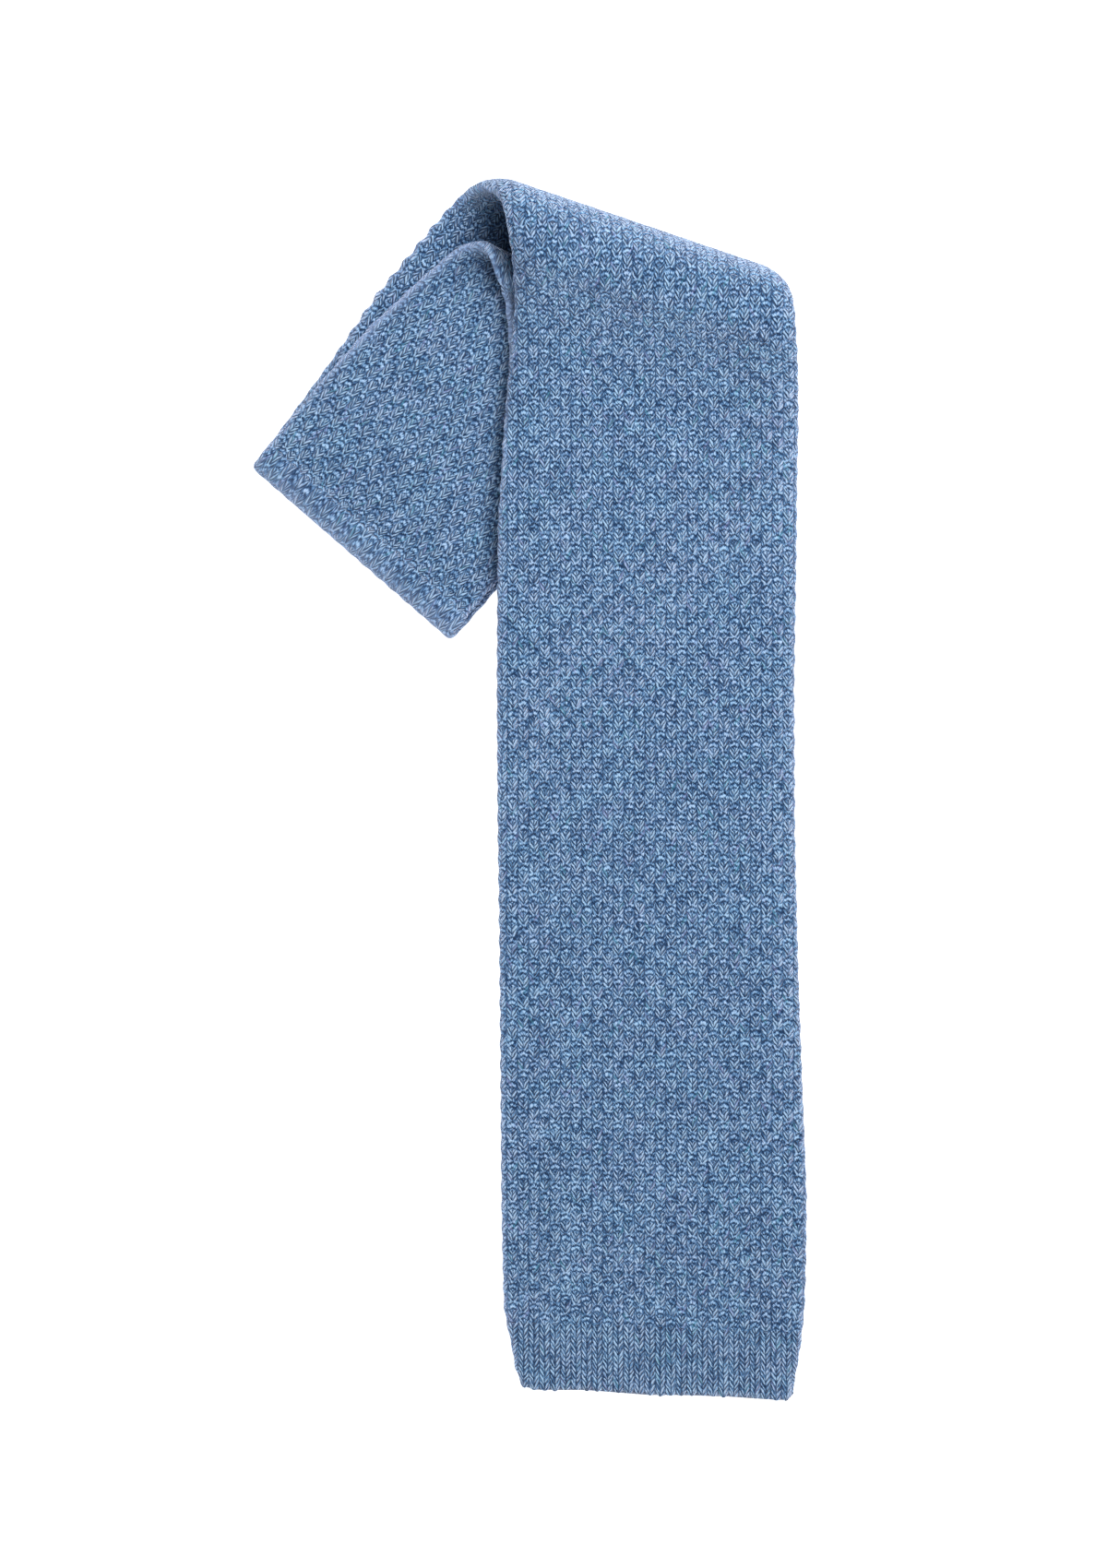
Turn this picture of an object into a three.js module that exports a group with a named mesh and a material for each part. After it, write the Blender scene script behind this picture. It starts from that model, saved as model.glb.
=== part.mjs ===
// A knit tie lying folded: one knitted strip with square ends, the front blade on top.
// +Y runs from the tip up the blade, +X to the right of the blade, +Z up from the surface it lies on.
import * as THREE from 'three';

// Cloth
const clothThickness = 3;
const layerGap = 0.3;
const bladeWidth = 70;
const borderGap = 0.3;

// Stretches of the strip between its folds, along its middle from the tip
const borderLength = 15;
const bladeLength = 206.5;
const returnLength = 87.6;
const secondLength = 70.6;
const hiddenLength = 192;

// The three folds: angle of the fold line to the square of the strip, in degrees, roll and easing
const topFoldAngle = -18.75;
const topFoldRadius = 9.9;
const topFoldEase = 45;
const leftFoldAngle = 3.5;
const leftFoldRadius = 2.6;
const leftFoldEase = 5;
const innerFoldAngle = 22;
const innerFoldRadius = 3;
const innerFoldEase = 6;

// Ends and draping
const tipSlant = -2.15;
const endRounding = 2.4;
const drapeLength = 30;
const tipDrapeLength = 28;
const tipFlatLength = 14;

const pitch = clothThickness + layerGap;
const halfThickness = clothThickness / 2;
const radians = THREE.MathUtils.degToRad;

// Height of the middle of the cloth in a layer, counted from the layer on the surface
function layerHeight(level) {
  return halfThickness + level * pitch;
}

// A fold turns the strip over about a slanted line. Its roll is a part circle that is wider than the
// layers it joins, so the cloth eases up to it before the line, or down from it behind.
class Fold {
  constructor(start, angle, fromLevel, toLevel, radius, ease, easesBefore) {
    this.start = start;
    this.along = new THREE.Vector2(Math.cos(radians(angle)), Math.sin(radians(angle)));
    this.across = new THREE.Vector2(-this.along.y, this.along.x);
    this.fromHeight = layerHeight(fromLevel);
    this.toHeight = layerHeight(toLevel);
    const step = Math.abs(this.toHeight - this.fromHeight);
    this.radius = Math.max(radius, step / 2);
    this.ease = ease;
    const excess = 2 * this.radius - step;
    const easeAngle = Math.acos(1 - excess / (this.radius + ease));
    this.before = easesBefore ? easeAngle : 0;
    this.after = easesBefore ? 0 : easeAngle;
    this.sense = this.toHeight < this.fromHeight ? -1 : 1;
    this.rollStart = ease * this.before;
    this.rollEnd = this.rollStart + this.radius * (Math.PI + this.before + this.after);
    this.length = this.rollEnd + ease * this.after;
    this.end = (this.radius + ease) * (Math.sin(this.before) - Math.sin(this.after));
  }

  // Distance past the fold's start, height and tilt of the cloth at a run along it
  profile(run) {
    const s = this.sense;
    const easeIn = Math.min(run, this.rollStart) / this.ease;
    let tilt = -s * easeIn;
    let reach = this.ease * Math.sin(easeIn);
    let height = this.fromHeight - s * this.ease * (1 - Math.cos(easeIn));
    if (run > this.rollStart) {
      const turned = tilt + s * (Math.min(run, this.rollEnd) - this.rollStart) / this.radius;
      reach += s * this.radius * (Math.sin(turned) - Math.sin(tilt));
      height -= s * this.radius * (Math.cos(turned) - Math.cos(tilt));
      tilt = turned;
    }
    if (run > this.rollEnd) {
      const turned = tilt - s * (run - this.rollEnd) / this.ease;
      reach -= s * this.ease * (Math.sin(turned) - Math.sin(tilt));
      height += s * this.ease * (Math.cos(turned) - Math.cos(tilt));
      tilt = turned;
    }
    return { reach, height, tilt };
  }

  // Offsets of a point of the unfolded plane along the fold line and across it
  offsets(point) {
    const offset = new THREE.Vector2(point.x, point.y - this.start);
    return { along: offset.dot(this.along), across: offset.dot(this.across) };
  }

  point(along, across) {
    return new THREE.Vector2(0, this.start)
      .addScaledVector(this.along, along)
      .addScaledVector(this.across, across);
  }

  // Where a point beyond the fold comes to lie once it is turned over
  turnOver(point) {
    const { along, across } = this.offsets(point);
    return this.point(along, this.end + this.length - across);
  }
}

const topFold = new Fold(borderLength + bladeLength, topFoldAngle, 3, 0, topFoldRadius, topFoldEase, true);
const leftFold = new Fold(
  topFold.start + topFold.length + returnLength,
  leftFoldAngle, 0, 1, leftFoldRadius, leftFoldEase, false);
const innerFold = new Fold(
  leftFold.start + leftFold.length + secondLength,
  innerFoldAngle, 1, 2, innerFoldRadius, innerFoldEase, false);
const folds = [topFold, leftFold, innerFold];
const stripLength = innerFold.start + innerFold.length + hiddenLength;

// Sides of the strip from its middle line, as shares of bladeWidth, at shares of stripLength
const sides = [
  { at: 0.0000, left: -0.4215, right: 0.4730 },
  { at: 0.0020, left: -0.4235, right: 0.4735 },
  { at: 0.0075, left: -0.4410, right: 0.4815 },
  { at: 0.0150, left: -0.4510, right: 0.4940 },
  { at: 0.0225, left: -0.4665, right: 0.5020 },
  { at: 0.0292, left: -0.4780, right: 0.5080 },
  { at: 0.0420, left: -0.4815, right: 0.5115 },
  { at: 0.0675, left: -0.4865, right: 0.5150 },
  { at: 0.0930, left: -0.4895, right: 0.5090 },
  { at: 0.1426, left: -0.4935, right: 0.4925 },
  { at: 0.1937, left: -0.4985, right: 0.4810 },
  { at: 0.2447, left: -0.5000, right: 0.4780 },
  { at: 0.2972, left: -0.4970, right: 0.4850 },
  { at: 0.3303, left: -0.4780, right: 0.4860 },
  { at: 0.3558, left: -0.4580, right: 0.4830 },
  { at: 0.3750, left: -0.4540, right: 0.4820 },
  { at: 0.3930, left: -0.4680, right: 0.4800 },
  { at: 0.4130, left: -0.4850, right: 0.4580 },
  { at: 0.4350, left: -0.5050, right: 0.4350 },
  { at: 0.4570, left: -0.5170, right: 0.4100 },
  { at: 0.4890, left: -0.5300, right: 0.3870 },
  { at: 0.5180, left: -0.5200, right: 0.3750 },
  { at: 0.5450, left: -0.5150, right: 0.3670 },
  { at: 0.5660, left: -0.5150, right: 0.3540 },
  { at: 0.5790, left: -0.5240, right: 0.3350 },
  { at: 0.5990, left: -0.5420, right: 0.3200 },
  { at: 0.6270, left: -0.5580, right: 0.3140 },
  { at: 0.6530, left: -0.5400, right: 0.3220 },
  { at: 0.6700, left: -0.4900, right: 0.3400 },
  { at: 0.6900, left: -0.4280, right: 0.3640 },
  { at: 0.7310, left: -0.4240, right: 0.3860 },
  { at: 0.7790, left: -0.4200, right: 0.3760 },
  { at: 0.8400, left: -0.3860, right: 0.3640 },
  { at: 0.9000, left: -0.3430, right: 0.3640 },
  { at: 1.0000, left: -0.3220, right: 0.3710 },
];

// Curl of the sides towards the back of the cloth: widths as shares of bladeWidth, angles in degrees
const curls = [
  { at: 0.0400, leftWidth: 0.086, leftAngle: 0, rightWidth: 0.157, rightAngle: 0 },
  { at: 0.1000, leftWidth: 0.086, leftAngle: 24, rightWidth: 0.157, rightAngle: 26 },
  { at: 0.1600, leftWidth: 0.086, leftAngle: 24, rightWidth: 0.157, rightAngle: 28 },
  { at: 0.2250, leftWidth: 0.086, leftAngle: 0, rightWidth: 0.157, rightAngle: 27 },
  { at: 0.3300, leftWidth: 0.120, leftAngle: 0, rightWidth: 0.157, rightAngle: 20 },
  { at: 0.3650, leftWidth: 0.150, leftAngle: 3, rightWidth: 0.157, rightAngle: 4 },
  { at: 0.3900, leftWidth: 0.171, leftAngle: 38, rightWidth: 0.157, rightAngle: 0 },
  { at: 0.4020, leftWidth: 0.171, leftAngle: 55, rightWidth: 0.157, rightAngle: 0 },
  { at: 0.4130, leftWidth: 0.171, leftAngle: 46, rightWidth: 0.157, rightAngle: 0 },
  { at: 0.4250, leftWidth: 0.171, leftAngle: 22, rightWidth: 0.157, rightAngle: 0 },
  { at: 0.4400, leftWidth: 0.171, leftAngle: 0, rightWidth: 0.157, rightAngle: 0 },
];

// Slant of the sections through the strip, in degrees: they turn to lie along each fold
const slants = [
  { at: borderLength, slant: tipSlant },
  { at: topFold.start / 2, slant: tipSlant * 1.5 },
  { at: topFold.start - bladeWidth / 7, slant: topFoldAngle },
  { at: topFold.start + topFold.length + bladeWidth / 7, slant: topFoldAngle },
  { at: leftFold.start - bladeWidth / 10, slant: leftFoldAngle },
  { at: leftFold.start + leftFold.length + bladeWidth / 10, slant: leftFoldAngle },
  { at: innerFold.start - bladeWidth / 10, slant: innerFoldAngle },
  { at: innerFold.start + innerFold.length + bladeWidth / 10, slant: innerFoldAngle },
  { at: stripLength - hiddenLength / 3, slant: 0 },
];

function smooth(share) {
  const t = THREE.MathUtils.clamp(share, 0, 1);
  return t * t * (3 - 2 * t);
}

// A column of a table at a place between its rows
function readTable(table, column, at) {
  const next = table.findIndex((row) => row.at >= at);
  if (next === 0) return table[0][column];
  if (next < 0) return table[table.length - 1][column];
  const low = table[next - 1];
  const high = table[next];
  const share = (at - low.at) / (high.at - low.at);
  return THREE.MathUtils.lerp(low[column], high[column], share);
}

function side(column, along) {
  return bladeWidth * readTable(sides, column, along / stripLength);
}

// Right sides of the two lower layers in plan, where the layers above begin to drop
const supportEdge = [0, 0.25, 0.5, 0.75, 1].flatMap((share) => {
  const inReturn = leftFold.start - share * returnLength;
  const inSecond = innerFold.start - share * secondLength;
  return [
    topFold.turnOver(new THREE.Vector2(side('right', inReturn), inReturn)),
    topFold.turnOver(leftFold.turnOver(new THREE.Vector2(side('right', inSecond), inSecond))),
  ];
});
const supportAlong = supportEdge[8].clone().sub(supportEdge[0]).normalize();
const supportAcross = new THREE.Vector2(supportAlong.y, -supportAlong.x);
const supportLine = Math.max(...supportEdge.map((point) => point.dot(supportAcross))) + clothThickness;

// How far a layer sags where the layers below it have ended
function sag(point, level) {
  const beyond = point.dot(supportAcross) - supportLine - 1.5 * clothThickness * smooth(level - 2);
  const overSide = 2 * pitch * smooth(beyond / drapeLength) * smooth(level - 1);
  const overEnd = pitch * smooth((tipFlatLength + tipDrapeLength - point.y) / tipDrapeLength);
  return overSide + overEnd * smooth(level - 2);
}

// Place of a point of the cloth: across and along the strip, and out of it towards its face
function place(across, along, out) {
  let point = new THREE.Vector2(across, along);
  let height = layerHeight(3) + out;
  let level = 3;
  for (let k = 0; k < folds.length; k += 1) {
    const offsets = folds[k].offsets(new THREE.Vector2(across, along));
    const face = k % 2 === 0 ? 1 : -1;
    if (offsets.across <= 0) break;
    const run = Math.min(offsets.across, folds[k].length);
    const { reach, height: middle, tilt } = folds[k].profile(run);
    const rest = Math.max(offsets.across - folds[k].length, 0);
    point = folds[k].point(offsets.along, reach - rest - face * out * Math.sin(tilt));
    for (let j = k - 1; j >= 0; j -= 1) point = folds[j].turnOver(point);
    height = middle + face * out * Math.cos(tilt);
    level = (middle - halfThickness) / pitch;
  }
  return new THREE.Vector3(point.x, point.y, height - sag(point, level));
}

// The same with the sides curled: each side follows an arc that begins at its curl's width
function placeCurled(across, along, out, limits) {
  const share = along / stripLength;
  for (const name of ['left', 'right']) {
    const width = bladeWidth * readTable(curls, name + 'Width', share);
    const bend = radians(readTable(curls, name + 'Angle', share)) / width;
    const sense = name === 'left' ? -1 : 1;
    const start = limits[name] - sense * width;
    const run = sense * (across - start);
    if (run <= 0 || bend === 0) continue;
    const turned = bend * run;
    const flat = start + sense * (Math.sin(turned) / bend + out * Math.sin(turned));
    const drop = (1 - Math.cos(turned)) / bend;
    return place(flat, along, out * Math.cos(turned) - drop);
  }
  return place(across, along, out);
}

// A closed section: the face from left to right, the round right side, the back and the left side
const inFromSide = [0, 0.04, 0.09, 0.15, 0.3];
const acrossShares = [...inFromSide, 0.5, ...inFromSide.map((share) => 1 - share).reverse()];
const roundAngles = [45, 0, -45];

function section(along, thickness) {
  const slant = Math.tan(radians(readTable(slants, 'slant', along)));
  const limits = { left: side('left', along), right: side('right', along) };
  for (const name of ['left', 'right', 'left', 'right']) {
    limits[name] = side(name, along + slant * limits[name]);
  }
  const half = halfThickness * thickness;
  const left = limits.left + half;
  const right = limits.right - half;
  const loop = acrossShares.map((share) => [THREE.MathUtils.lerp(left, right, share), half]);
  const back = loop.map(([across, out]) => [across, -out]).reverse();
  const round = roundAngles.map((angle) => [half * Math.cos(radians(angle)), half * Math.sin(radians(angle))]);
  loop.push(...round.map(([reach, out]) => [right + reach, out]));
  loop.push(...back);
  loop.push(...round.map(([reach, out]) => [left - reach, -out]));
  return loop.map(([across, out]) => {
    const place = placeCurled(across, along + slant * across, out, limits);
    return { flat: new THREE.Vector2(across, out), place };
  });
}

// One closed body lofted through sections of the strip
function loft(stations) {
  const loops = stations.map(({ at, thickness }) => section(at, thickness));
  const count = loops[0].length;
  const positions = loops.flatMap((loop) => loop.flatMap(({ place }) => place.toArray()));
  const triangles = [];
  for (let i = 0; i + 1 < loops.length; i += 1) {
    for (let j = 0; j < count; j += 1) {
      const a = i * count + j;
      const b = i * count + (j + 1) % count;
      triangles.push(a, b, b + count, a, b + count, a + count);
    }
  }
  const last = (loops.length - 1) * count;
  for (const [a, b, c] of THREE.ShapeUtils.triangulateShape(loops[0].map(({ flat }) => flat), [])) {
    triangles.push(a, b, c, last + c, last + b, last + a);
  }
  const geometry = new THREE.BufferGeometry();
  geometry.setAttribute('position', new THREE.Float32BufferAttribute(positions, 3));
  geometry.setIndex(triangles);
  geometry.computeVertexNormals();
  return geometry;
}

// Stations at even steps from one place to another
function even(from, to, step) {
  const count = Math.max(1, Math.round((to - from) / step));
  return Array.from({ length: count }, (_, i) => from + (to - from) * i / count);
}

function foldStations(fold) {
  const easeIn = fold.start + fold.rollStart;
  const easeOut = fold.start + fold.rollEnd;
  const end = fold.start + fold.length;
  const turn = (easeOut - easeIn) / 14;
  return [
    ...(fold.rollStart > 0 ? even(fold.start, easeIn, fold.rollStart / 4) : []),
    ...even(easeIn, easeOut, turn),
    ...(end > easeOut ? even(easeOut, end, (end - easeOut) / 3) : []),
  ];
}

const topEnd = topFold.start + topFold.length;
const leftEnd = leftFold.start + leftFold.length;
const innerEnd = innerFold.start + innerFold.length;

const borderStations = [
  { at: 0, thickness: 0.5 },
  { at: endRounding / 4, thickness: 0.86 },
  { at: endRounding, thickness: 1 },
  ...even(endRounding * 2, borderLength - borderGap, borderLength / 4).map((at) => ({ at, thickness: 1 })),
  { at: borderLength - borderGap, thickness: 1 },
];

const bodyStations = [
  ...even(borderLength, topFold.start, bladeWidth / 8),
  ...foldStations(topFold),
  ...even(topEnd, leftFold.start, bladeWidth / 6),
  ...foldStations(leftFold),
  ...even(leftEnd, innerFold.start, bladeWidth / 7),
  ...foldStations(innerFold),
  ...even(innerEnd, stripLength - endRounding, bladeWidth / 9),
].map((at) => ({ at, thickness: 1 }));
bodyStations.push(
  { at: stripLength - endRounding, thickness: 1 },
  { at: stripLength - endRounding / 4, thickness: 0.86 },
  { at: stripLength, thickness: 0.5 },
);

const knitWool = new THREE.MeshStandardMaterial({ color: 0x6683a6, roughness: 0.92, metalness: 0 });
const plainKnitWool = new THREE.MeshStandardMaterial({ color: 0x5f7ca0, roughness: 0.92, metalness: 0 });

const body = new THREE.Mesh(loft(bodyStations), knitWool);
body.name = 'tie_body';
const border = new THREE.Mesh(loft(borderStations), plainKnitWool);
border.name = 'tip_border';

const tie = new THREE.Group();
tie.name = 'knit_tie';
tie.add(body, border);

// The origin is under the middle of the folded tie
const bounds = new THREE.Box3().setFromObject(tie, true);
const middle = bounds.getCenter(new THREE.Vector3());
body.position.set(-middle.x, -middle.y, -bounds.min.z);
border.position.copy(body.position);

export default tie;
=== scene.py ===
# Folded knit tie: the strip is knitted flat in millimetres, folded, then dressed in marled wool
import math
import bpy
import numpy as np
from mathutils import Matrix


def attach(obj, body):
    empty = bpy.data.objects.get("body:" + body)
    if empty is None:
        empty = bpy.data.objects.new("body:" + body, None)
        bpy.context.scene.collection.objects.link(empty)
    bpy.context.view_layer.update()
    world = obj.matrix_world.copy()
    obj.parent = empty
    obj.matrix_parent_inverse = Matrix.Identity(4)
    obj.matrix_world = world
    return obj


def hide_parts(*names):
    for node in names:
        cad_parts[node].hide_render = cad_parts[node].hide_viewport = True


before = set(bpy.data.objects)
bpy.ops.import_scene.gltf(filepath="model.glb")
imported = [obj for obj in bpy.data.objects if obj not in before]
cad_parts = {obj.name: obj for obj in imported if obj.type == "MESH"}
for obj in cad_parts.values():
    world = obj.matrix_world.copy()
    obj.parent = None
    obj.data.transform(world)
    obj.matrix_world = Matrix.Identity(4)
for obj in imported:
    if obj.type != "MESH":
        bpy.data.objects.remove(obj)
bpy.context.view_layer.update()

bpy.ops.object.select_all(action="DESELECT")
print("frame loaded")

millimetre = 0.001

strip = {
    "thickness": 3.0,
    "layerGap": 0.3,
    "bladeWidth": 70.0,
    "borderLength": 15.0,
    "bladeLength": 206.5,  # from the border to the top fold
    "returnLength": 87.6,  # from there to the left fold
    "secondLength": 72.0,  # from there to the fold inside the hood
    "hiddenLength": 190.6,  # what is left lies under the blade
    "endRounding": 2.4,
    "endThickness": 0.5,  # share of the thickness at the very end
    "drapeStart": 1.5,  # the blade begins to come down this much further out, in thicknesses
    "drapeLength": 30.0,
    "tipDrapeLength": 28.0,
    "tipFlatLength": 14.0,
    "origin": (27.4836, -138.2998),  # where the strip's line starts in plan, at the tip
}
# the levels are the layers that a fold joins, counted from the table
topFoldSizes = {"angle": -18.75, "radius": 9.9, "ease": 45.0, "levels": (3, 0), "easesBefore": True}
leftFoldSizes = {"angle": 3.5, "radius": 2.6, "ease": 5.0, "levels": (0, 1), "easesBefore": False}
innerFoldSizes = {"angle": 22.0, "radius": 3.0, "ease": 6.0, "levels": (1, 2), "easesBefore": False}

pitch = strip["thickness"] + strip["layerGap"]
half = strip["thickness"] / 2


def layerHeight(level):
    return half + level * pitch


def smooth(share):
    t = np.clip(share, 0.0, 1.0)
    return t * t * (3 - 2 * t)


class Fold:
    # turns the strip over about a slanted line, with a roll that is wider than the layers it joins
    def __init__(self, start, sizes):
        angle = math.radians(sizes["angle"])
        self.start = start
        self.along = (math.cos(angle), math.sin(angle))
        self.across = (-math.sin(angle), math.cos(angle))
        self.fromHeight, self.toHeight = (layerHeight(level) for level in sizes["levels"])
        self.radius = sizes["radius"]
        self.ease = sizes["ease"]
        excess = 2 * self.radius - abs(self.toHeight - self.fromHeight)
        easeAngle = math.acos(1 - excess / (self.radius + self.ease))
        self.before = easeAngle if sizes["easesBefore"] else 0.0
        self.after = 0.0 if sizes["easesBefore"] else easeAngle
        self.sense = -1 if self.toHeight < self.fromHeight else 1
        self.rollStart = self.ease * self.before
        self.rollEnd = self.rollStart + self.radius * (math.pi + self.before + self.after)
        self.length = self.rollEnd + self.ease * self.after
        self.end = (self.radius + self.ease) * (math.sin(self.before) - math.sin(self.after))

    def profile(self, run):
        # reach, height and tilt of the cloth's middle, after a run over the fold
        s = self.sense
        easeIn = np.minimum(run, self.rollStart) / self.ease
        tilt = -s * easeIn
        reach = self.ease * np.sin(easeIn)
        height = self.fromHeight - s * self.ease * (1 - np.cos(easeIn))
        turned = tilt + s * np.clip(run - self.rollStart, 0, self.rollEnd - self.rollStart) / self.radius
        reach = reach + s * self.radius * (np.sin(turned) - np.sin(tilt))
        height = height - s * self.radius * (np.cos(turned) - np.cos(tilt))
        tilt = turned
        turned = tilt - s * np.maximum(run - self.rollEnd, 0) / self.ease
        reach = reach - s * self.ease * (np.sin(turned) - np.sin(tilt))
        height = height + s * self.ease * (np.cos(turned) - np.cos(tilt))
        return reach, height, turned

    def offsets(self, x, y):
        y = y - self.start
        return x * self.along[0] + y * self.along[1], x * self.across[0] + y * self.across[1]

    def point(self, along, across):
        x = self.along[0] * along + self.across[0] * across
        return x, self.start + self.along[1] * along + self.across[1] * across

    def turnOver(self, x, y):
        along, across = self.offsets(x, y)
        return self.point(along, self.end + self.length - across)


topFold = Fold(strip["borderLength"] + strip["bladeLength"], topFoldSizes)
leftFold = Fold(topFold.start + topFold.length + strip["returnLength"], leftFoldSizes)
innerFold = Fold(leftFold.start + leftFold.length + strip["secondLength"], innerFoldSizes)
folds = [topFold, leftFold, innerFold]
stripLength = innerFold.start + innerFold.length + strip["hiddenLength"]

# share of the strip's length, then its left and right side as shares of the blade's width
sides = np.array([
    (0.0000, -0.4215, 0.4730), (0.0020, -0.4235, 0.4735), (0.0075, -0.4410, 0.4815),
    (0.0150, -0.4510, 0.4940), (0.0225, -0.4665, 0.5020), (0.0292, -0.4780, 0.5080),
    (0.0420, -0.4815, 0.5115), (0.0675, -0.4865, 0.5150), (0.0930, -0.4895, 0.5090),
    (0.1426, -0.4935, 0.4925), (0.1937, -0.4985, 0.4810), (0.2447, -0.5000, 0.4780),
    (0.2972, -0.4970, 0.4850), (0.3303, -0.4780, 0.4860), (0.3558, -0.4580, 0.4830),
    (0.3750, -0.4420, 0.4820), (0.3930, -0.4500, 0.4780), (0.4130, -0.4720, 0.4560),
    (0.4230, -0.4920, 0.4460), (0.4350, -0.5150, 0.4350), (0.4570, -0.5235, 0.4100),
    (0.4890, -0.5345, 0.3870), (0.5180, -0.5205, 0.3750), (0.5450, -0.5145, 0.3670),
    (0.5660, -0.5150, 0.3540), (0.5790, -0.5265, 0.3350), (0.5990, -0.5455, 0.3200),
    (0.6270, -0.5605, 0.3140), (0.6400, -0.5550, 0.3180), (0.6515, -0.5505, 0.3220),
    (0.6600, -0.5435, 0.3300), (0.6660, -0.5400, 0.3360), (0.6700, -0.5280, 0.3400),
    (0.6900, -0.4400, 0.3640), (0.7000, -0.4260, 0.3700), (0.7100, -0.4130, 0.3760),
    (0.7310, -0.4000, 0.3860), (0.7790, -0.3950, 0.3760), (0.8400, -0.3860, 0.3640),
    (0.9000, -0.3430, 0.3640), (1.0000, -0.3220, 0.3710),
])
# the same for the curl of the sides: left width and degrees, right width and degrees
curls = np.array([
    (0.0400, 0.086, 0, 0.157, 0), (0.1000, 0.086, 24, 0.157, 26), (0.1600, 0.086, 24, 0.157, 28),
    (0.2250, 0.086, 0, 0.157, 27), (0.3300, 0.120, 0, 0.120, 22), (0.3600, 0.150, 6, 0.090, 30),
    (0.3900, 0.110, 24, 0.090, 50), (0.4050, 0.085, 42, 0.090, 45), (0.4200, 0.080, 62, 0.090, 20),
    (0.4350, 0.080, 62, 0.090, 0), (0.4500, 0.080, 34, 0.090, 0), (0.4650, 0.080, 0, 0.090, 0),
    (0.6700, 0.065, 0, 0.090, 0), (0.6850, 0.065, 34, 0.090, 0), (0.6950, 0.065, 52, 0.090, 0),
    (0.7050, 0.065, 52, 0.090, 0), (0.7180, 0.065, 24, 0.090, 0), (0.7320, 0.065, 0, 0.090, 0),
])
# slant of the rows of stitches at the tip: millimetres from the tip, then degrees
slants = np.array([(15.0, -2.15), (70.0, 0.0)])


def sideAt(column, along):
    return strip["bladeWidth"] * np.interp(along / stripLength, sides[:, 0], sides[:, column])


# right sides of the return and the second layer in plan, where the layers above begin to drop
supportEdge = []
for share in (0, 0.25, 0.5, 0.75, 1):
    inReturn = leftFold.start - share * strip["returnLength"]
    inSecond = innerFold.start - share * strip["secondLength"]
    supportEdge.append(topFold.turnOver(sideAt(2, inReturn), inReturn))
    supportEdge.append(topFold.turnOver(*leftFold.turnOver(sideAt(2, inSecond), inSecond)))
supportEdge = np.array(supportEdge)
supportAlong = supportEdge[8] - supportEdge[0]  # the return's side from end to end
supportAcross = np.array([supportAlong[1], -supportAlong[0]]) / np.hypot(*supportAlong)
supportLine = (supportEdge @ supportAcross).max() + strip["thickness"]


def sag(x, y, level):
    # the upper layers come down beside the lower ones, and the blade past the hidden stretch's end
    beyond = x * supportAcross[0] + y * supportAcross[1] - supportLine
    beyond = beyond - strip["drapeStart"] * strip["thickness"] * smooth(level - 2)
    overSide = 2 * pitch * smooth(beyond / strip["drapeLength"]) * smooth(level - 1)
    dropStart = strip["tipFlatLength"] + strip["tipDrapeLength"]
    overEnd = pitch * smooth((dropStart - y) / strip["tipDrapeLength"])
    return overSide + overEnd * smooth(level - 2)


def place(across, along, out):
    # a point of the cloth, folded: across and along the strip, and out of it towards its face
    x, y, z = across, along, layerHeight(3) + out
    level = np.full(np.shape(across), 3.0)
    for k, fold in enumerate(folds):
        foldAlong, foldAcross = fold.offsets(across, along)
        face = 1 if k % 2 == 0 else -1
        reach, middle, tilt = fold.profile(np.clip(foldAcross, 0, fold.length))
        rest = np.maximum(foldAcross - fold.length, 0)
        px, py = fold.point(foldAlong, reach - rest - face * out * np.sin(tilt))
        for earlier in reversed(folds[:k]):
            px, py = earlier.turnOver(px, py)
        past = foldAcross > 0
        x, y = np.where(past, px, x), np.where(past, py, y)
        z = np.where(past, middle + face * out * np.cos(tilt), z)
        level = np.where(past, (middle - half) / pitch, level)
    return np.stack([x, y, z - sag(x, y, level)], -1)


def placeCurled(across, along, out, left, right):
    share = along / stripLength
    flat, lift = across, out
    for limit, sense, column in ((left, -1, 1), (right, 1, 3)):
        width = strip["bladeWidth"] * np.interp(share, curls[:, 0], curls[:, column])
        degrees = np.interp(share, curls[:, 0], curls[:, column + 1])
        bend = np.radians(degrees) / width + 1e-6  # never quite flat
        start = limit - sense * width
        run = sense * (across - start)
        turned = bend * np.maximum(run, 0)
        flat = np.where(run > 0, start + sense * (np.sin(turned) / bend + out * np.sin(turned)), flat)
        lift = np.where(run > 0, out * np.cos(turned) - (1 - np.cos(turned)) / bend, lift)
    return place(flat, along, lift)


stitch = {
    "wale": 2.414,  # width of a stitch
    "course": 1.181,  # height of a stitch
    "pulled": (290, 370),  # along the strip, from here to there the knitting gets pulled
    "pulledWale": 0.86,
    "pulledCourse": 1.17,
    "tableMargin": 10,  # the count of stitches is kept in a table that goes past both ends
    "tableSteps": 4000,
    "relief": 0.19,  # the raised diamonds, half of their height
    "reliefPower": 0.85,  # under 1 they are flatter on top
    "reliefUneven": 0.35,
    "reliefUnevenSize": 1.7,
    "sunk": 0.24,
    "scallop": 0.11,  # the raised stitches push the sides out
    "scallopStarts": (0.7, 2.1),  # left and right
    "hoodScallop": 1.9,  # more so on the return layer
    "hoodShares": (0.44, 0.46, 0.496, 0.518),
    "ridge": 0.12,  # wales of the plain border
    "ridgePower": 0.7,
    "ridgeUneven": 0.05,
    "ridgeUnevenSize": 1.3,
    "backSunk": 0.2,
    "edgeTurns": 7,  # rows of points round a side
    "backColumns": 22,
    "sharpAngle": 75,
}
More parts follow.
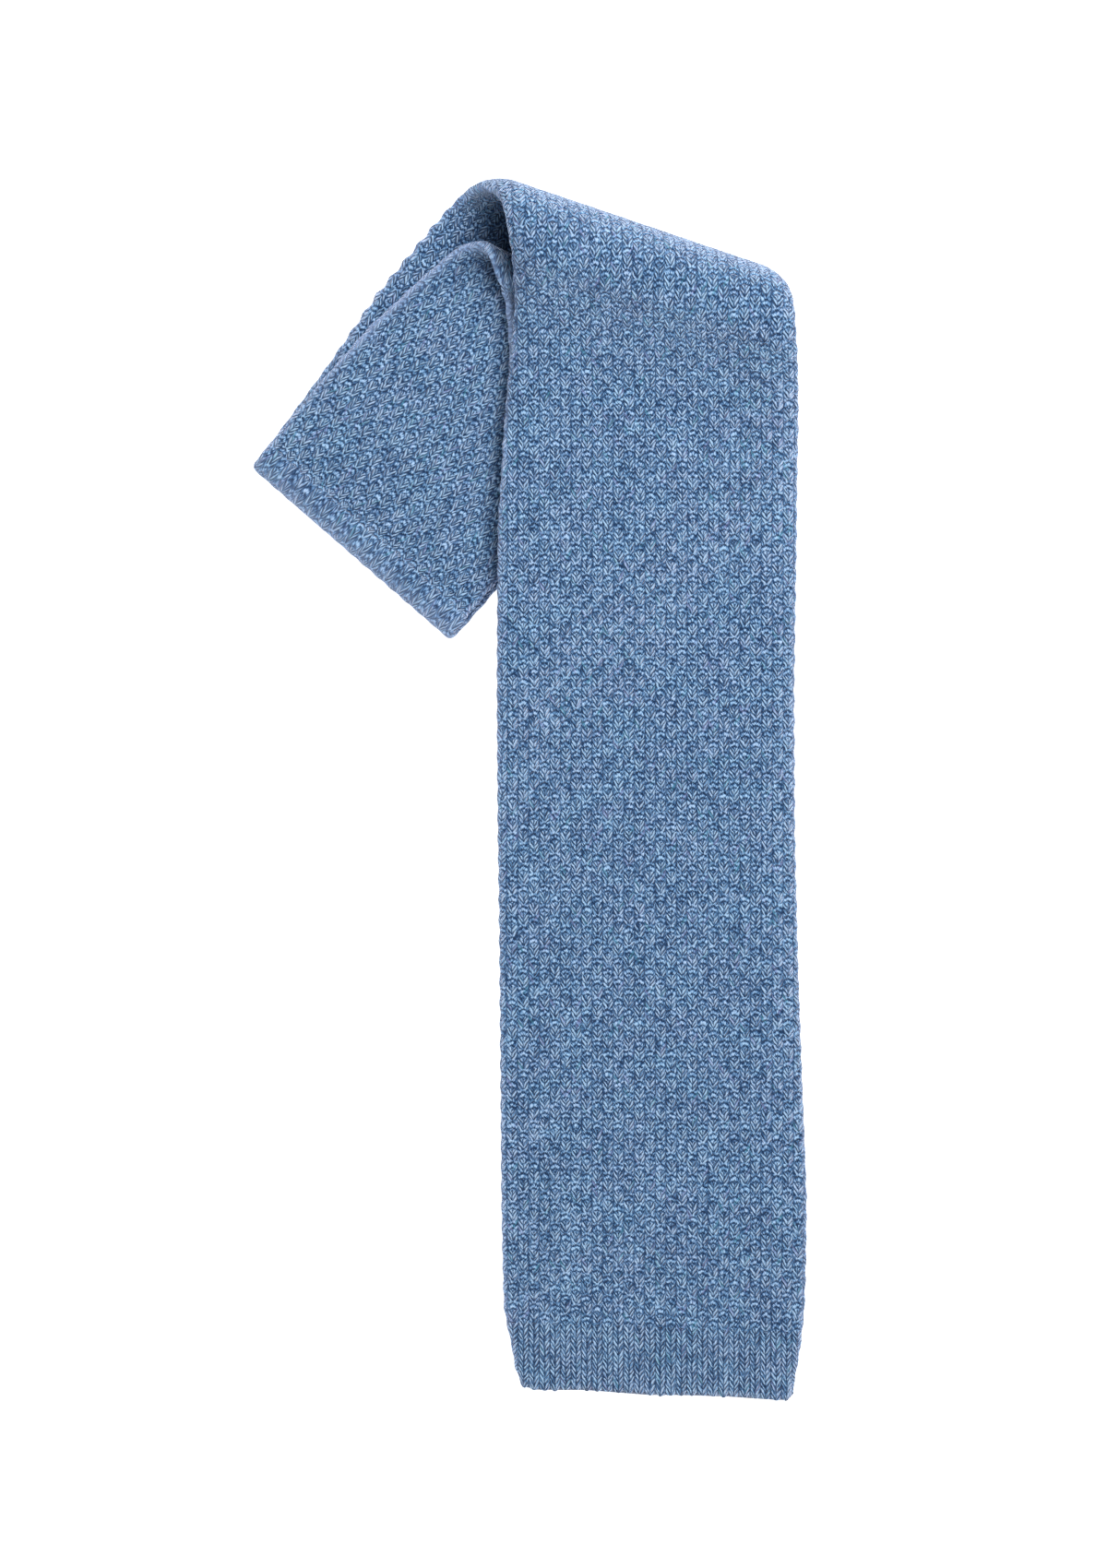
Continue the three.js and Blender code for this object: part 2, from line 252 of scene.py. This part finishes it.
# a fold, the run over it where the cloth is tightest, how far that goes and the share of relief it takes
tightest = (
    (topFold, 49, 13, 0.75),
    (leftFold, 5, 5.5, 0.45),
    (innerFold, 5.5, 6, 0.6),
)
alongTable = np.linspace(-stitch["tableMargin"], stripLength + stitch["tableMargin"], stitch["tableSteps"])
pulledTable = smooth((alongTable - stitch["pulled"][0]) / (stitch["pulled"][1] - stitch["pulled"][0]))
waleTable = stitch["wale"] * (1 + (stitch["pulledWale"] - 1) * pulledTable)
courseTable = stitch["course"] * (1 + (stitch["pulledCourse"] - 1) * pulledTable)
courseCount = np.concatenate([[0], np.cumsum((alongTable[1] - alongTable[0]) / courseTable[1:])])
courseCount -= np.interp(0, alongTable, courseCount)


def coursesAt(along):
    return np.interp(along, alongTable, courseCount)


def walesAt(across, along):
    return across / np.interp(along, alongTable, waleTable)


# the waves of the unevenness: which are used, how each is turned and how much closer the next lies
slowWaves = {"seed": 7, "count": 12, "every": 2, "turn": 0.6, "firstTurn": 0.4, "closer": 0.23}
random = np.random.default_rng(slowWaves["seed"])
unevenPhases = random.uniform(0, 2 * math.pi, slowWaves["count"])


def uneven(a, b, size):
    # slow waves that keep the knitting from looking machined
    total = 0
    for i in range(0, slowWaves["count"], slowWaves["every"]):
        turn = slowWaves["turn"] * i + slowWaves["firstTurn"]
        run = (a * math.cos(turn) + b * math.sin(turn)) * (1 + slowWaves["closer"] * i) / size
        total = total + np.sin(run + unevenPhases[i])
    return total * slowWaves["every"] / slowWaves["count"]


def stretched(across, along):
    # the relief is pulled flat where the folds are tightest
    left = 1.0
    for fold, middle, reach, share in tightest:
        run = fold.offsets(across, along)[1]
        left = left * (1 - share * np.exp(-((run - middle) / reach) ** 2))
    return left


def diamondRelief(wales, courses):
    raised = np.cos(np.pi * wales) * np.cos(np.pi * courses / 2)
    amount = 1 + stitch["reliefUneven"] * uneven(wales, courses, stitch["reliefUnevenSize"])
    diamonds = np.sign(raised) * np.abs(raised) ** stitch["reliefPower"]
    return stitch["relief"] * diamonds * amount - stitch["sunk"]


def plainRelief(wales, courses):
    hump = np.abs(np.cos(np.pi * wales)) ** stitch["ridgePower"]
    waves = stitch["ridgeUneven"] * uneven(wales, courses, stitch["ridgeUnevenSize"])
    return stitch["ridge"] * (2 * hump - 1) + waves - stitch["sunk"]


tip = {
    "reach": 11.0,  # how far up the border the unevenness goes
    "low": 0.25,
    "wave": 0.34,
    "waves": ((0.21, 1.1, 0.6), (0.47, 0.3, 0.4)),  # closeness, start and share of each
    "slope": 0.014,
    "stitches": 0.22,  # the cast-off stitches stand out
    "stitchReach": 1.5,
    "stitchWave": (0.83, 0.5, 0.7),  # and not all alike: closeness, start and share
    "middle": 1.8,
    "halfWidth": 31.4,
    "corner": 3.0,
    "cornerMost": 1.3,
    "cornerCut": 1.6,
    "leftCornerCut": 0.9,
    "cornerReach": 6,
}


def castOff(across, along):
    # the last edge is a little uneven and its corners are worn round
    fade = np.clip(1 - along / tip["reach"], 0, 1) ** 2
    wave = sum(np.sin(across * closeness + start) * share for closeness, start, share in tip["waves"])
    wave = wave + across * tip["slope"]
    bumps = np.cos(2 * np.pi * across / stitch["wale"]) * np.clip(1 - along / tip["stitchReach"], 0, 1)
    closeness, start, share = tip["stitchWave"]
    bumps = bumps * (1 + share * np.sin(across * closeness + start))
    fromMiddle = np.abs(across - tip["middle"])
    nearSide = (fromMiddle - (tip["halfWidth"] - tip["corner"])) / tip["corner"]
    nearSide = np.clip(nearSide, 0, tip["cornerMost"])
    cut = np.where(across < 0, tip["leftCornerCut"], tip["cornerCut"])
    cut = cut * nearSide ** 2 * np.clip(1 - along / tip["cornerReach"], 0, 1)
    return fade * (tip["low"] + tip["wave"] * wave) + tip["stitches"] * bumps - cut


# painted shade in the hoods and beside the blade, and painted sheen on the rims: a place and a width for
# each border of a hollow, or a width and a strength
paintedLight = {
    "hollowFrom": (0.45, 6.0),  # inside the top roll, the place as a share of it
    "hollowTo": (2.0, 10.0),  # past the roll
    "hollowSide": (3.0, 9.0),  # in from the left side
    "innerFrom": (8.0, 8.0),  # before the inner fold
    "innerTo": (0.5, 4.0),  # a share of that fold
    "innerSide": (1.0, 4.0),
    "underBlade": (2.8, 0.45),  # painted shade beside the blade
    "fluffRidge": (1.5, 0.75),  # painted sheen on the inner hood's side
    "fluffRidgeShares": (0.590, 0.620, 0.672, 0.684),
    "fluffBand": (3.0, 0.75),  # and on the side of the stretch that shows inside that hood
    "fluffBandShares": (0.684, 0.700, 0.780, 0.800),
    "paintedSheenFold": (3.2, 0.45),  # on the left fold
    "paintedSheenSide": (0.9, 0.35),  # along both sides of the strip
}


def rampAt(run, border):
    start, width = border
    return smooth((run - start) / width)


def hollowShadeAt(across, along, fromLeft, isBack):
    # how deep a point lies in one of the two hoods, which sets the painted shade there
    run = topFold.offsets(across, along)[1]
    rollShare, width = paintedLight["hollowFrom"]
    start = topFold.rollStart + rollShare * (topFold.rollEnd - topFold.rollStart)
    outer = rampAt(run, (start, width)) * (1 - rampAt(run - topFold.rollEnd, paintedLight["hollowTo"]))
    outer = outer * rampAt(fromLeft, paintedLight["hollowSide"]) * isBack
    run = innerFold.offsets(across, along)[1]
    before, width = paintedLight["innerFrom"]
    foldShare, endWidth = paintedLight["innerTo"]
    inner = rampAt(run, (-before, width)) * (1 - rampAt(run, (foldShare * innerFold.rollEnd, endWidth)))
    inner = inner * rampAt(fromLeft, paintedLight["innerSide"]) * (1 - isBack)
    return outer + inner


def shadeBesideBlade(points):
    # painted shade: how near the blade's left side passes over a point of the layers below
    width, depth = paintedLight["underBlade"]
    return depth * np.exp(-((sideAt(1, points[..., 1]) - points[..., 0]) / width) ** 2)


def paintedSheenAt(across, along, fromLeft, fromRight):
    # painted sheen: the wool is made lighter along the sides, on the left fold and on the ridges inside
    # the hoods
    share = along / stripLength
    fluff = 0
    for kind in ("fluffRidge", "fluffBand"):
        width, strength = paintedLight[kind]
        window = np.interp(share, paintedLight[kind + "Shares"], (0, 1, 1, 0))
        fluff = fluff + strength * window * np.exp(-(fromLeft / width) ** 2)
    width, strength = paintedLight["paintedSheenSide"]
    fluff = np.maximum(fluff, strength * np.exp(-(np.minimum(fromLeft, fromRight) / width) ** 2))
    width, strength = paintedLight["paintedSheenFold"]
    run = leftFold.offsets(across, along)[1] - leftFold.radius * math.pi / 2
    return np.maximum(fluff, strength * np.exp(-(run / width) ** 2))


def roundedEnd(fromEnd):
    share = np.clip(fromEnd / strip["endRounding"], 0, 1)
    least = strip["endThickness"]
    return half * (least + (1 - least) * np.sqrt(1 - (1 - share) ** 2))


def knitPiece(name, rows, columns, relief, roundStart=False, roundEnd=False):
    # one closed stretch of the strip: rows of stitches round the face, right side, back and left side
    turns = np.linspace(90, -90, stitch["edgeTurns"] + 2)[1:-1]
    faceShares = np.linspace(0, 1, columns)
    backShares = np.linspace(1, 0, stitch["backColumns"])
    alongMiddle = np.asarray(rows)[:, None]
    slant = np.tan(np.radians(np.interp(alongMiddle, slants[:, 0], slants[:, 1])))
    limits = []
    for column, sense, start in zip((1, 2), (-1, 1), stitch["scallopStarts"]):
        limit = sideAt(column, alongMiddle)
        for _ in range(3):  # the rows slant, so their ends are found step by step
            limit = sideAt(column, alongMiddle + slant * limit)
        wave = np.cos(np.pi * coursesAt(alongMiddle) / 2 + start)
        window = np.interp(alongMiddle / stripLength, stitch["hoodShares"], (0, 1, 1, 0))
        bulge = 1 + stitch["hoodScallop"] * window
        limits.append(limit + sense * stitch["scallop"] * bulge * wave * stretched(limit, alongMiddle))
    left, right = limits
    thick = np.full(alongMiddle.shape, half)
    if roundStart:
        thick = roundedEnd(alongMiddle - alongMiddle[0])
    if roundEnd:
        thick = roundedEnd(alongMiddle[-1] - alongMiddle)
    inLeft, inRight = left + half, right - half
    courses = coursesAt(alongMiddle)

    def reliefAt(across):
        return relief(walesAt(across, alongMiddle), courses) * stretched(across, alongMiddle)

    face = inLeft + (inRight - inLeft) * faceShares
    parts = [(face, thick + reliefAt(face))]
    cosine, sine = np.cos(np.radians(turns)), np.sin(np.radians(turns))
    for edge, sense in ((inRight, 1), (inLeft, -1)):
        lean = sine if sense > 0 else -sine
        radius = half + reliefAt(edge) * np.clip(lean, 0, 1) - stitch["backSunk"] * np.clip(-lean, 0, 1)
        parts.append((edge + sense * radius * cosine, radius * lean * thick / half))
        if sense > 0:
            back = inLeft + (inRight - inLeft) * backShares
            parts.append((back, -(thick - stitch["backSunk"]) + 0 * back))
    across = np.concatenate([part[0] for part in parts], 1)
    out = np.concatenate([part[1] for part in parts], 1)
    along = alongMiddle + slant * across - castOff(across, alongMiddle)
    points = placeCurled(across, along, out, left, right)
    # painted shade along the blade's left side, on the layers below it
    under = shadeBesideBlade(points) * (alongMiddle > topFold.start) * (alongMiddle < innerFold.start)
    points[..., 0] += strip["origin"][0]
    points[..., 1] += strip["origin"][1]
    # the first mark holds painted shade, the second painted sheen
    marks = {
        "hollow": np.maximum(hollowShadeAt(across, along, across - left, out < 0), under),
        "fluff": paintedSheenAt(across, along, across - left, right - across),
    }
    wales = walesAt(across, alongMiddle)
    return meshFromRows(name, points * millimetre, wales, courses + 0 * across, marks)


def meshFromRows(name, points, wales, courses, marks):
    rowCount, loopCount = wales.shape
    index = np.arange(rowCount * loopCount).reshape(rowCount, loopCount)
    right = np.roll(index, -1, 1)
    quads = np.stack([index[:-1], right[:-1], right[1:], index[1:]], -1).reshape(-1, 4)
    caps = [index[0, ::-1].tolist(), index[-1].tolist()]
    mesh = bpy.data.meshes.new(name)
    mesh.from_pydata(points.reshape(-1, 3).tolist(), [], quads.tolist() + caps)
    layer = mesh.uv_layers.new(name="stitch")
    corners = np.empty(len(mesh.loops), np.int32)
    mesh.loops.foreach_get("vertex_index", corners)
    uv = np.stack([wales.ravel(), courses.ravel()], -1)[corners]
    layer.data.foreach_set("uv", uv.astype(np.float32).ravel())
    for mark, amount in marks.items():
        made = mesh.attributes.new(mark, "FLOAT", "POINT")
        made.data.foreach_set("value", amount.astype(np.float32).ravel())
    mesh.polygons.foreach_set("use_smooth", [True] * len(mesh.polygons))
    mesh.update()
    piece = bpy.data.objects.new(name, mesh)
    bpy.context.collection.objects.link(piece)
    bpy.ops.object.select_all(action="DESELECT")
    piece.select_set(True)
    bpy.context.view_layer.objects.active = piece
    bpy.ops.object.shade_smooth_by_angle(angle=math.radians(stitch["sharpAngle"]))
    piece.select_set(False)
    print(name, len(quads) * 2, "triangles")
    return piece


def evenRows(start, end, step):
    return np.linspace(start, end, int(round((end - start) / step)) + 1)


# where the strip is split into pieces, under the top fold's roll and before the left fold,
# and where the flap's rows get wider
seams = {"border": 14.9, "underTop": 291.0, "beforeLeft": 366.0, "pastInner": 476.0}

bladeSizes = {"rowStep": 0.5, "columns": 134}
bladeRows = evenRows(seams["border"], seams["underTop"], bladeSizes["rowStep"])
blade = knitPiece("blade_knit", bladeRows, bladeSizes["columns"], diamondRelief)

returnSizes = {"rowStep": 0.6, "columns": 118}
returnRows = evenRows(seams["underTop"], seams["beforeLeft"], returnSizes["rowStep"])
returning = knitPiece("return_knit", returnRows, returnSizes["columns"], diamondRelief)

flapSizes = {"rowStep": 0.5, "hiddenRowStep": 0.8, "columns": 118}
flapRows = np.concatenate([
    evenRows(seams["beforeLeft"], seams["pastInner"], flapSizes["rowStep"]),
    evenRows(seams["pastInner"], stripLength, flapSizes["hiddenRowStep"])[1:],
])
flap = knitPiece("flap_knit", flapRows, flapSizes["columns"], diamondRelief, roundEnd=True)

borderSizes = {"rowStep": 0.45, "columns": 134}
borderRows = evenRows(0, seams["border"], borderSizes["rowStep"])
border = knitPiece("border_knit", borderRows, borderSizes["columns"], plainRelief, roundStart=True)
print("strip knitted and folded")


class Wire:
    # a socket, so that maths on it reads as maths
    def __init__(self, paint, socket):
        self.paint = paint
        self.socket = socket

    def maths(self, operation, *values):
        sockets = dict(enumerate((self, *values)))
        return self.paint.node("ShaderNodeMath", {"operation": operation}, sockets)

    def __add__(self, other):
        return self.maths("ADD", other)

    def __sub__(self, other):
        return self.maths("SUBTRACT", other)

    def __mul__(self, other):
        return self.maths("MULTIPLY", other)

    def __pow__(self, other):
        return self.maths("POWER", other)

    def __neg__(self):
        return self.maths("MULTIPLY", -1.0)

    def __rsub__(self, other):
        return -self + other

    __radd__ = __add__
    __rmul__ = __mul__


class Paint:
    # one material and its nodes
    def __init__(self, name):
        self.material = bpy.data.materials.new(name)
        self.material.use_nodes = True
        self.tree = self.material.node_tree
        self.tree.nodes.clear()

    def node(self, kind, settings, sockets, output=0):
        made = self.tree.nodes.new(kind)
        for key, value in settings.items():
            if key == "stops":
                ramp = made.color_ramp
                while len(ramp.elements) < len(value):
                    ramp.elements.new(0.5)
                for element, (position, colour) in zip(ramp.elements, value):
                    element.position = position
                    element.color = (*colour, 1)
            else:
                setattr(made, key, value)
        for key, value in sockets.items():
            if isinstance(value, Wire):
                self.tree.links.new(value.socket, made.inputs[key])
            else:
                made.inputs[key].default_value = value
        return None if output is None else Wire(self, made.outputs[output])

    def xAndY(self, vector):
        first = self.node("ShaderNodeSeparateXYZ", {}, {"Vector": vector})
        return first, Wire(self, first.socket.node.outputs["Y"])

    def between(self, low, high, share):
        # a colour between two
        return self.node("ShaderNodeMix", {"data_type": "RGBA"}, {0: share, 6: low, 7: high}, 2)

    def tinted(self, colour, tint):
        settings = {"data_type": "RGBA", "blend_type": "MULTIPLY"}
        return self.node("ShaderNodeMix", settings, {0: 1.0, 6: colour, 7: tint}, 2)

    def clamped(self, value):
        return self.node("ShaderNodeClamp", {}, {"Value": value})


knitLook = {
    "stops": [
        (0.0, (0.010, 0.040, 0.112)),
        (0.22, (0.034, 0.093, 0.215)),
        (0.42, (0.069, 0.160, 0.318)),
        (0.58, (0.113, 0.235, 0.428)),
        (0.76, (0.188, 0.342, 0.580)),
        (1.0, (0.400, 0.585, 0.820)),
    ],
    "middle": 0.93,  # where between the stops the wool lies
    # the stitches
    "lean": 2.9,  # how far the legs of a stitch rise, in courses for a whole wale
    "purlLean": 1.2,
    "wander": 0.07,  # of the lines of stitches
    "wanderScale": 0.9,
    "wanderWales": 1.4,
    "wanderCourses": 5,
    "knitEdge": 2.2,  # how sharply knit turns into purl at a diamond's side
    "knitExtra": 0.75,
    "waleGap": 0.7,
    "archFade": 0.7,
    # painted shade in the crevices between the yarns
    "creviceShade": 1.0,
    "stitchTone": 0.36,
    "diamondHighlight": 0.20,  # painted highlights: light dots on the raised diamonds
    "dotPower": 1.5,
    "dotLevel": 0.2,
    "patchTone": 0.22,
    "patchScale": 0.33,
    # the fibres: how close they lie, and how far each leg's are shifted
    "fibreTone": 2.65,
    "fibreAcross": 5.5,
    "fibreAlong": 2.45,
    "fibreShift": (5.3, 1.7),
    "fibreBump": 0.5,
    "plyTone": 0.05,
    "plyTurns": 2,
    "plyUneven": 2.5,
    "yarnBump": 0.00045,
    # the marl
    "drifts": [(0.32, (0.95, 1.02, 1.02)), (0.5, (1.0, 1.0, 1.0)), (0.68, (1.06, 0.99, 1.0))],
    "driftScale": 0.21,
    "flecks": [(0.0, (0.09, 0.33, 0.44)), (1.0, (0.29, 0.32, 0.60))],
    "fleckFrom": 0.475,
    "fleckEdge": 60,
    "fleckShare": 0.4,
    "fleckRows": 1.5,  # to a course
    "fleckSlice": 3.7,
    # painted sheen and painted shade of the folds
    "paintedSheenColour": (0.28, 0.39, 0.64, 1.0),
    "paintedSheenLight": 0.6,  # how much of that painted shade the painted sheen takes away
    "hollowReach": 0.030,
    "hollowSamples": 6,
    "hollowTone": 0.5,
    "hollowOpen": (0.08, 0.62),
    "hollowShade": 0.5,
    "hollowPowers": (1.15, 0.85),  # red goes first and blue last
    # the shader
    "roughness": 0.92,
    "specular": 0.2,
    "sheen": 1.0,
    "sheenRoughness": 0.35,
    "sheenTint": (0.70, 0.77, 1.0, 1.0),
}


def knitMaterial(name, look, moss):
    paint = Paint(name)
    plane = {"noise_dimensions": "2D"}
    uv = paint.node("ShaderNodeUVMap", {"uv_map": "stitch"}, {})
    wanderSockets = {"Vector": uv, "Scale": look["wanderScale"], "Detail": 1.0}
    wanderX, wanderY = paint.xAndY(paint.node("ShaderNodeTexNoise", plane, wanderSockets, 1))
    x, y = paint.xAndY(uv)
    waleX = x + (wanderX - 0.5) * look["wander"] * look["wanderWales"]
    courseY = y + (wanderY - 0.5) * look["wander"] * look["wanderCourses"]
    fromWale = (waleX + 0.5).maths("FRACT") - 0.5
    fromMiddle = fromWale.maths("ABSOLUTE")
    diamond = (waleX * math.pi).maths("COSINE") * (courseY * (math.pi / 2)).maths("COSINE")
    # painted highlights where the diamonds are raised
    dots = paint.clamped(diamond) ** look["dotPower"] - look["dotLevel"]

    # knit stitches show their two legs as a V, purl ones the arch between them
    rising = courseY - fromMiddle * look["lean"]
    knitLeg = rising.maths("FRACT") * 2 - 1
    fromLeg = fromMiddle * 4 - 1
    yarn = (1 - knitLeg * knitLeg) * (1 - (fromLeg * fromLeg) * (fromLeg * fromLeg) * look["waleGap"])
    if moss:
        arching = courseY + fromMiddle * look["purlLean"] + 0.5
        purlArch = arching.maths("FRACT") * 2 - 1
        purlYarn = (1 - purlArch * purlArch) * (1 - fromMiddle * look["archFade"])
        knitShare = paint.clamped(diamond * look["knitEdge"] + look["knitExtra"])
        yarn = yarn * knitShare + purlYarn * (1 - knitShare)

    leg = (waleX * 2 + 1).maths("FLOOR")
    shiftX, shiftZ = look["fibreShift"]
    fibreVector = paint.node("ShaderNodeCombineXYZ", {}, {
        "X": fromMiddle * look["fibreAcross"] + leg * shiftX,
        "Y": rising * look["fibreAlong"],
        "Z": leg * shiftZ,
    })
    fibreSockets = {"Vector": fibreVector, "Scale": 1.0, "Detail": 0.6, "Roughness": 0.7}
    fibre = paint.node("ShaderNodeTexNoise", {}, fibreSockets)
    cell = paint.node("ShaderNodeCombineXYZ", {}, {"X": leg, "Y": rising.maths("FLOOR")})
    stitchTone = paint.node("ShaderNodeTexWhiteNoise", plane, {"Vector": cell})
    patchSockets = {"Vector": uv, "Scale": look["patchScale"], "Detail": 2.0}
    patch = paint.node("ShaderNodeTexNoise", plane, patchSockets)
    ply = rising * (2 * math.pi * look["plyTurns"]) + fibre * look["plyUneven"]
    tone = (
        look["middle"]
        + (fibre - 0.5) * look["fibreTone"]
        + (stitchTone - 0.5) * look["stitchTone"]
        + (patch - 0.5) * look["patchTone"]
        # painted highlights on the raised diamonds and painted shade between the yarns
        + dots * look["diamondHighlight"]
        - (1 - yarn) * look["creviceShade"]
        + ply.maths("COSINE") * look["plyTone"]
    )
    colour = paint.node("ShaderNodeValToRGB", {"stops": look["stops"]}, {"Fac": tone})

    # the marl: slow drifts of hue and a few fibres of other dye lots
    driftSockets = {"Vector": uv, "Scale": look["driftScale"], "Detail": 3.0, "Roughness": 0.7}
    drift = paint.node("ShaderNodeTexNoise", plane, driftSockets)
    driftTint = paint.node("ShaderNodeValToRGB", {"stops": look["drifts"]}, {"Fac": drift})
    colour = paint.tinted(colour, driftTint)
    fleckRow = (rising * look["fleckRows"]).maths("FLOOR")
    fleckCell = paint.node("ShaderNodeCombineXYZ", {}, {"X": leg, "Y": fleckRow, "Z": look["fleckSlice"]})
    fleck = paint.node("ShaderNodeTexWhiteNoise", {}, {"Vector": fleckCell})
    fleckTint = paint.node("ShaderNodeValToRGB", {"stops": look["flecks"]}, {"Fac": fleck})
    isFleck = paint.clamped(((fleck - 0.5).maths("ABSOLUTE") - look["fleckFrom"]) * look["fleckEdge"])
    colour = paint.between(colour, fleckTint, isFleck * look["fleckShare"])
    # painted sheen: a lighter lavender on the rims and ridges
    fluff = paint.node("ShaderNodeAttribute", {"attribute_name": "fluff"}, {}, "Fac")
    colour = paint.between(colour, look["paintedSheenColour"], fluff)

    # painted shade: deep inside the folds the wool is made darker, from its openness and from the hollow
    # mark
    hollow = paint.node("ShaderNodeAttribute", {"attribute_name": "hollow"}, {}, "Fac")
    reach = {"Distance": look["hollowReach"]}
    openness = paint.node("ShaderNodeAmbientOcclusion", {"samples": look["hollowSamples"]}, reach, "AO")
    openFrom, openTo = look["hollowOpen"]
    lit = paint.node("ShaderNodeMapRange", {"interpolation_type": "SMOOTHSTEP"}, {
        "Value": openness,
        "From Min": openFrom,
        "From Max": openTo,
        "To Min": look["hollowTone"],
    })
    lit = lit * (1 - hollow * look["hollowShade"])
    # the painted sheen takes back part of that painted shade
    lit = lit + (1 - lit) * fluff * look["paintedSheenLight"]
    redPower, bluePower = look["hollowPowers"]
    shade = paint.node("ShaderNodeCombineXYZ", {}, {"X": lit ** redPower, "Y": lit, "Z": lit ** bluePower})
    colour = paint.tinted(colour, shade)

    height = yarn + (fibre - 0.5) * look["fibreBump"]
    bumpSockets = {"Strength": 1.0, "Distance": look["yarnBump"], "Height": height}
    normal = paint.node("ShaderNodeBump", {}, bumpSockets)
    wool = paint.node("ShaderNodeBsdfPrincipled", {}, {
        "Base Color": colour,
        "Normal": normal,
        "Roughness": look["roughness"],
        "Specular IOR Level": look["specular"],
        "Sheen Weight": look["sheen"],
        "Sheen Roughness": look["sheenRoughness"],
        "Sheen Tint": look["sheenTint"],
    })
    paint.node("ShaderNodeOutputMaterial", {}, {"Surface": wool}, None)
    return paint.material


reliefWool = knitMaterial("relief_wool", knitLook, True)
borderLook = dict(knitLook, diamondHighlight=0.0, waleGap=0.88)
plainWool = knitMaterial("plain_wool", borderLook, False)

for piece, wool, slotName in (
    (blade, reliefWool, "knit_wool"),
    (returning, reliefWool, "knit_wool"),
    (flap, reliefWool, "knit_wool"),
    (border, plainWool, "plain_knit_wool"),
):
    piece.data.materials.append(wool)
    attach(piece, "root")
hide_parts("tie_body")
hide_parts("tie_body")
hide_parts("tie_body")
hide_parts("tip_border")
stripLength * 0.001 - 0.366
print("wool on")

# sizes and places in metres, but the sensor in millimetres
studio = {
    "floor": (0.9, 0.9, 0.9),
    "floorSize": 6,
    "floorDrop": -0.0002,
    "floorRoughness": 0.8,
    "floorGlow": 0.8,  # the table is lit from below a little
    "worldStrength": 0.28,
    "cameraHeight": 1.5,
    "centre": (0.0054, 0.0013),
    "fieldHeight": 0.3584,
    "sharpAt": 0.008,
    "sensorWidth": 36,
}
# name, place, size and power
softLights = (
    ("key_light", (0.36, 0.60, 0.9), 0.7, 14.0),
    ("fill_light", (-0.8, 0.2, 1.0), 1.0, 1.0),
    ("rim_light", (-0.45, -1.2, 0.33), 0.8, 10),
)
bpy.ops.mesh.primitive_plane_add(size=studio["floorSize"], location=(0, 0, studio["floorDrop"]))
floor = bpy.context.object
floor.name = "studio_floor"
floorPaint = Paint("pale_floor")
floorShade = floorPaint.node("ShaderNodeBsdfPrincipled", {}, {
    "Base Color": (*studio["floor"], 1),
    "Roughness": studio["floorRoughness"],
    "Emission Color": (1, 1, 1, 1),
    "Emission Strength": studio["floorGlow"],
})
floorPaint.node("ShaderNodeOutputMaterial", {}, {"Surface": floorShade}, None)
floor.data.materials.append(floorPaint.material)

world = bpy.data.worlds.new("studio")
bpy.context.scene.world = world
world.use_nodes = True
world.node_tree.nodes["Background"].inputs["Color"].default_value = (1, 1, 1, 1)
world.node_tree.nodes["Background"].inputs["Strength"].default_value = studio["worldStrength"]
bpy.context.scene.view_settings.view_transform = "Standard"

for name, spot, size, power in softLights:
    light = bpy.data.lights.new(name, "AREA")
    light.size = size
    light.energy = power
    lamp = bpy.data.objects.new(name, light)
    bpy.context.collection.objects.link(lamp)
    lamp.location = spot
    towards = -np.array(spot)  # each faces the tie
    lamp.rotation_euler = (
        math.atan2(math.hypot(towards[0], towards[1]), -towards[2]), 0,
        math.atan2(towards[1], towards[0]) - math.pi / 2)

camera = bpy.data.objects.new("photo_camera", bpy.data.cameras.new("photo_camera"))
bpy.context.collection.objects.link(camera)
camera.location = (*studio["centre"], studio["cameraHeight"])
camera.data.sensor_width = studio["sensorWidth"]
distance = studio["cameraHeight"] - studio["sharpAt"]
camera.data.lens = studio["sensorWidth"] * distance / studio["fieldHeight"]
bpy.context.scene.camera = camera
print("studio ready")
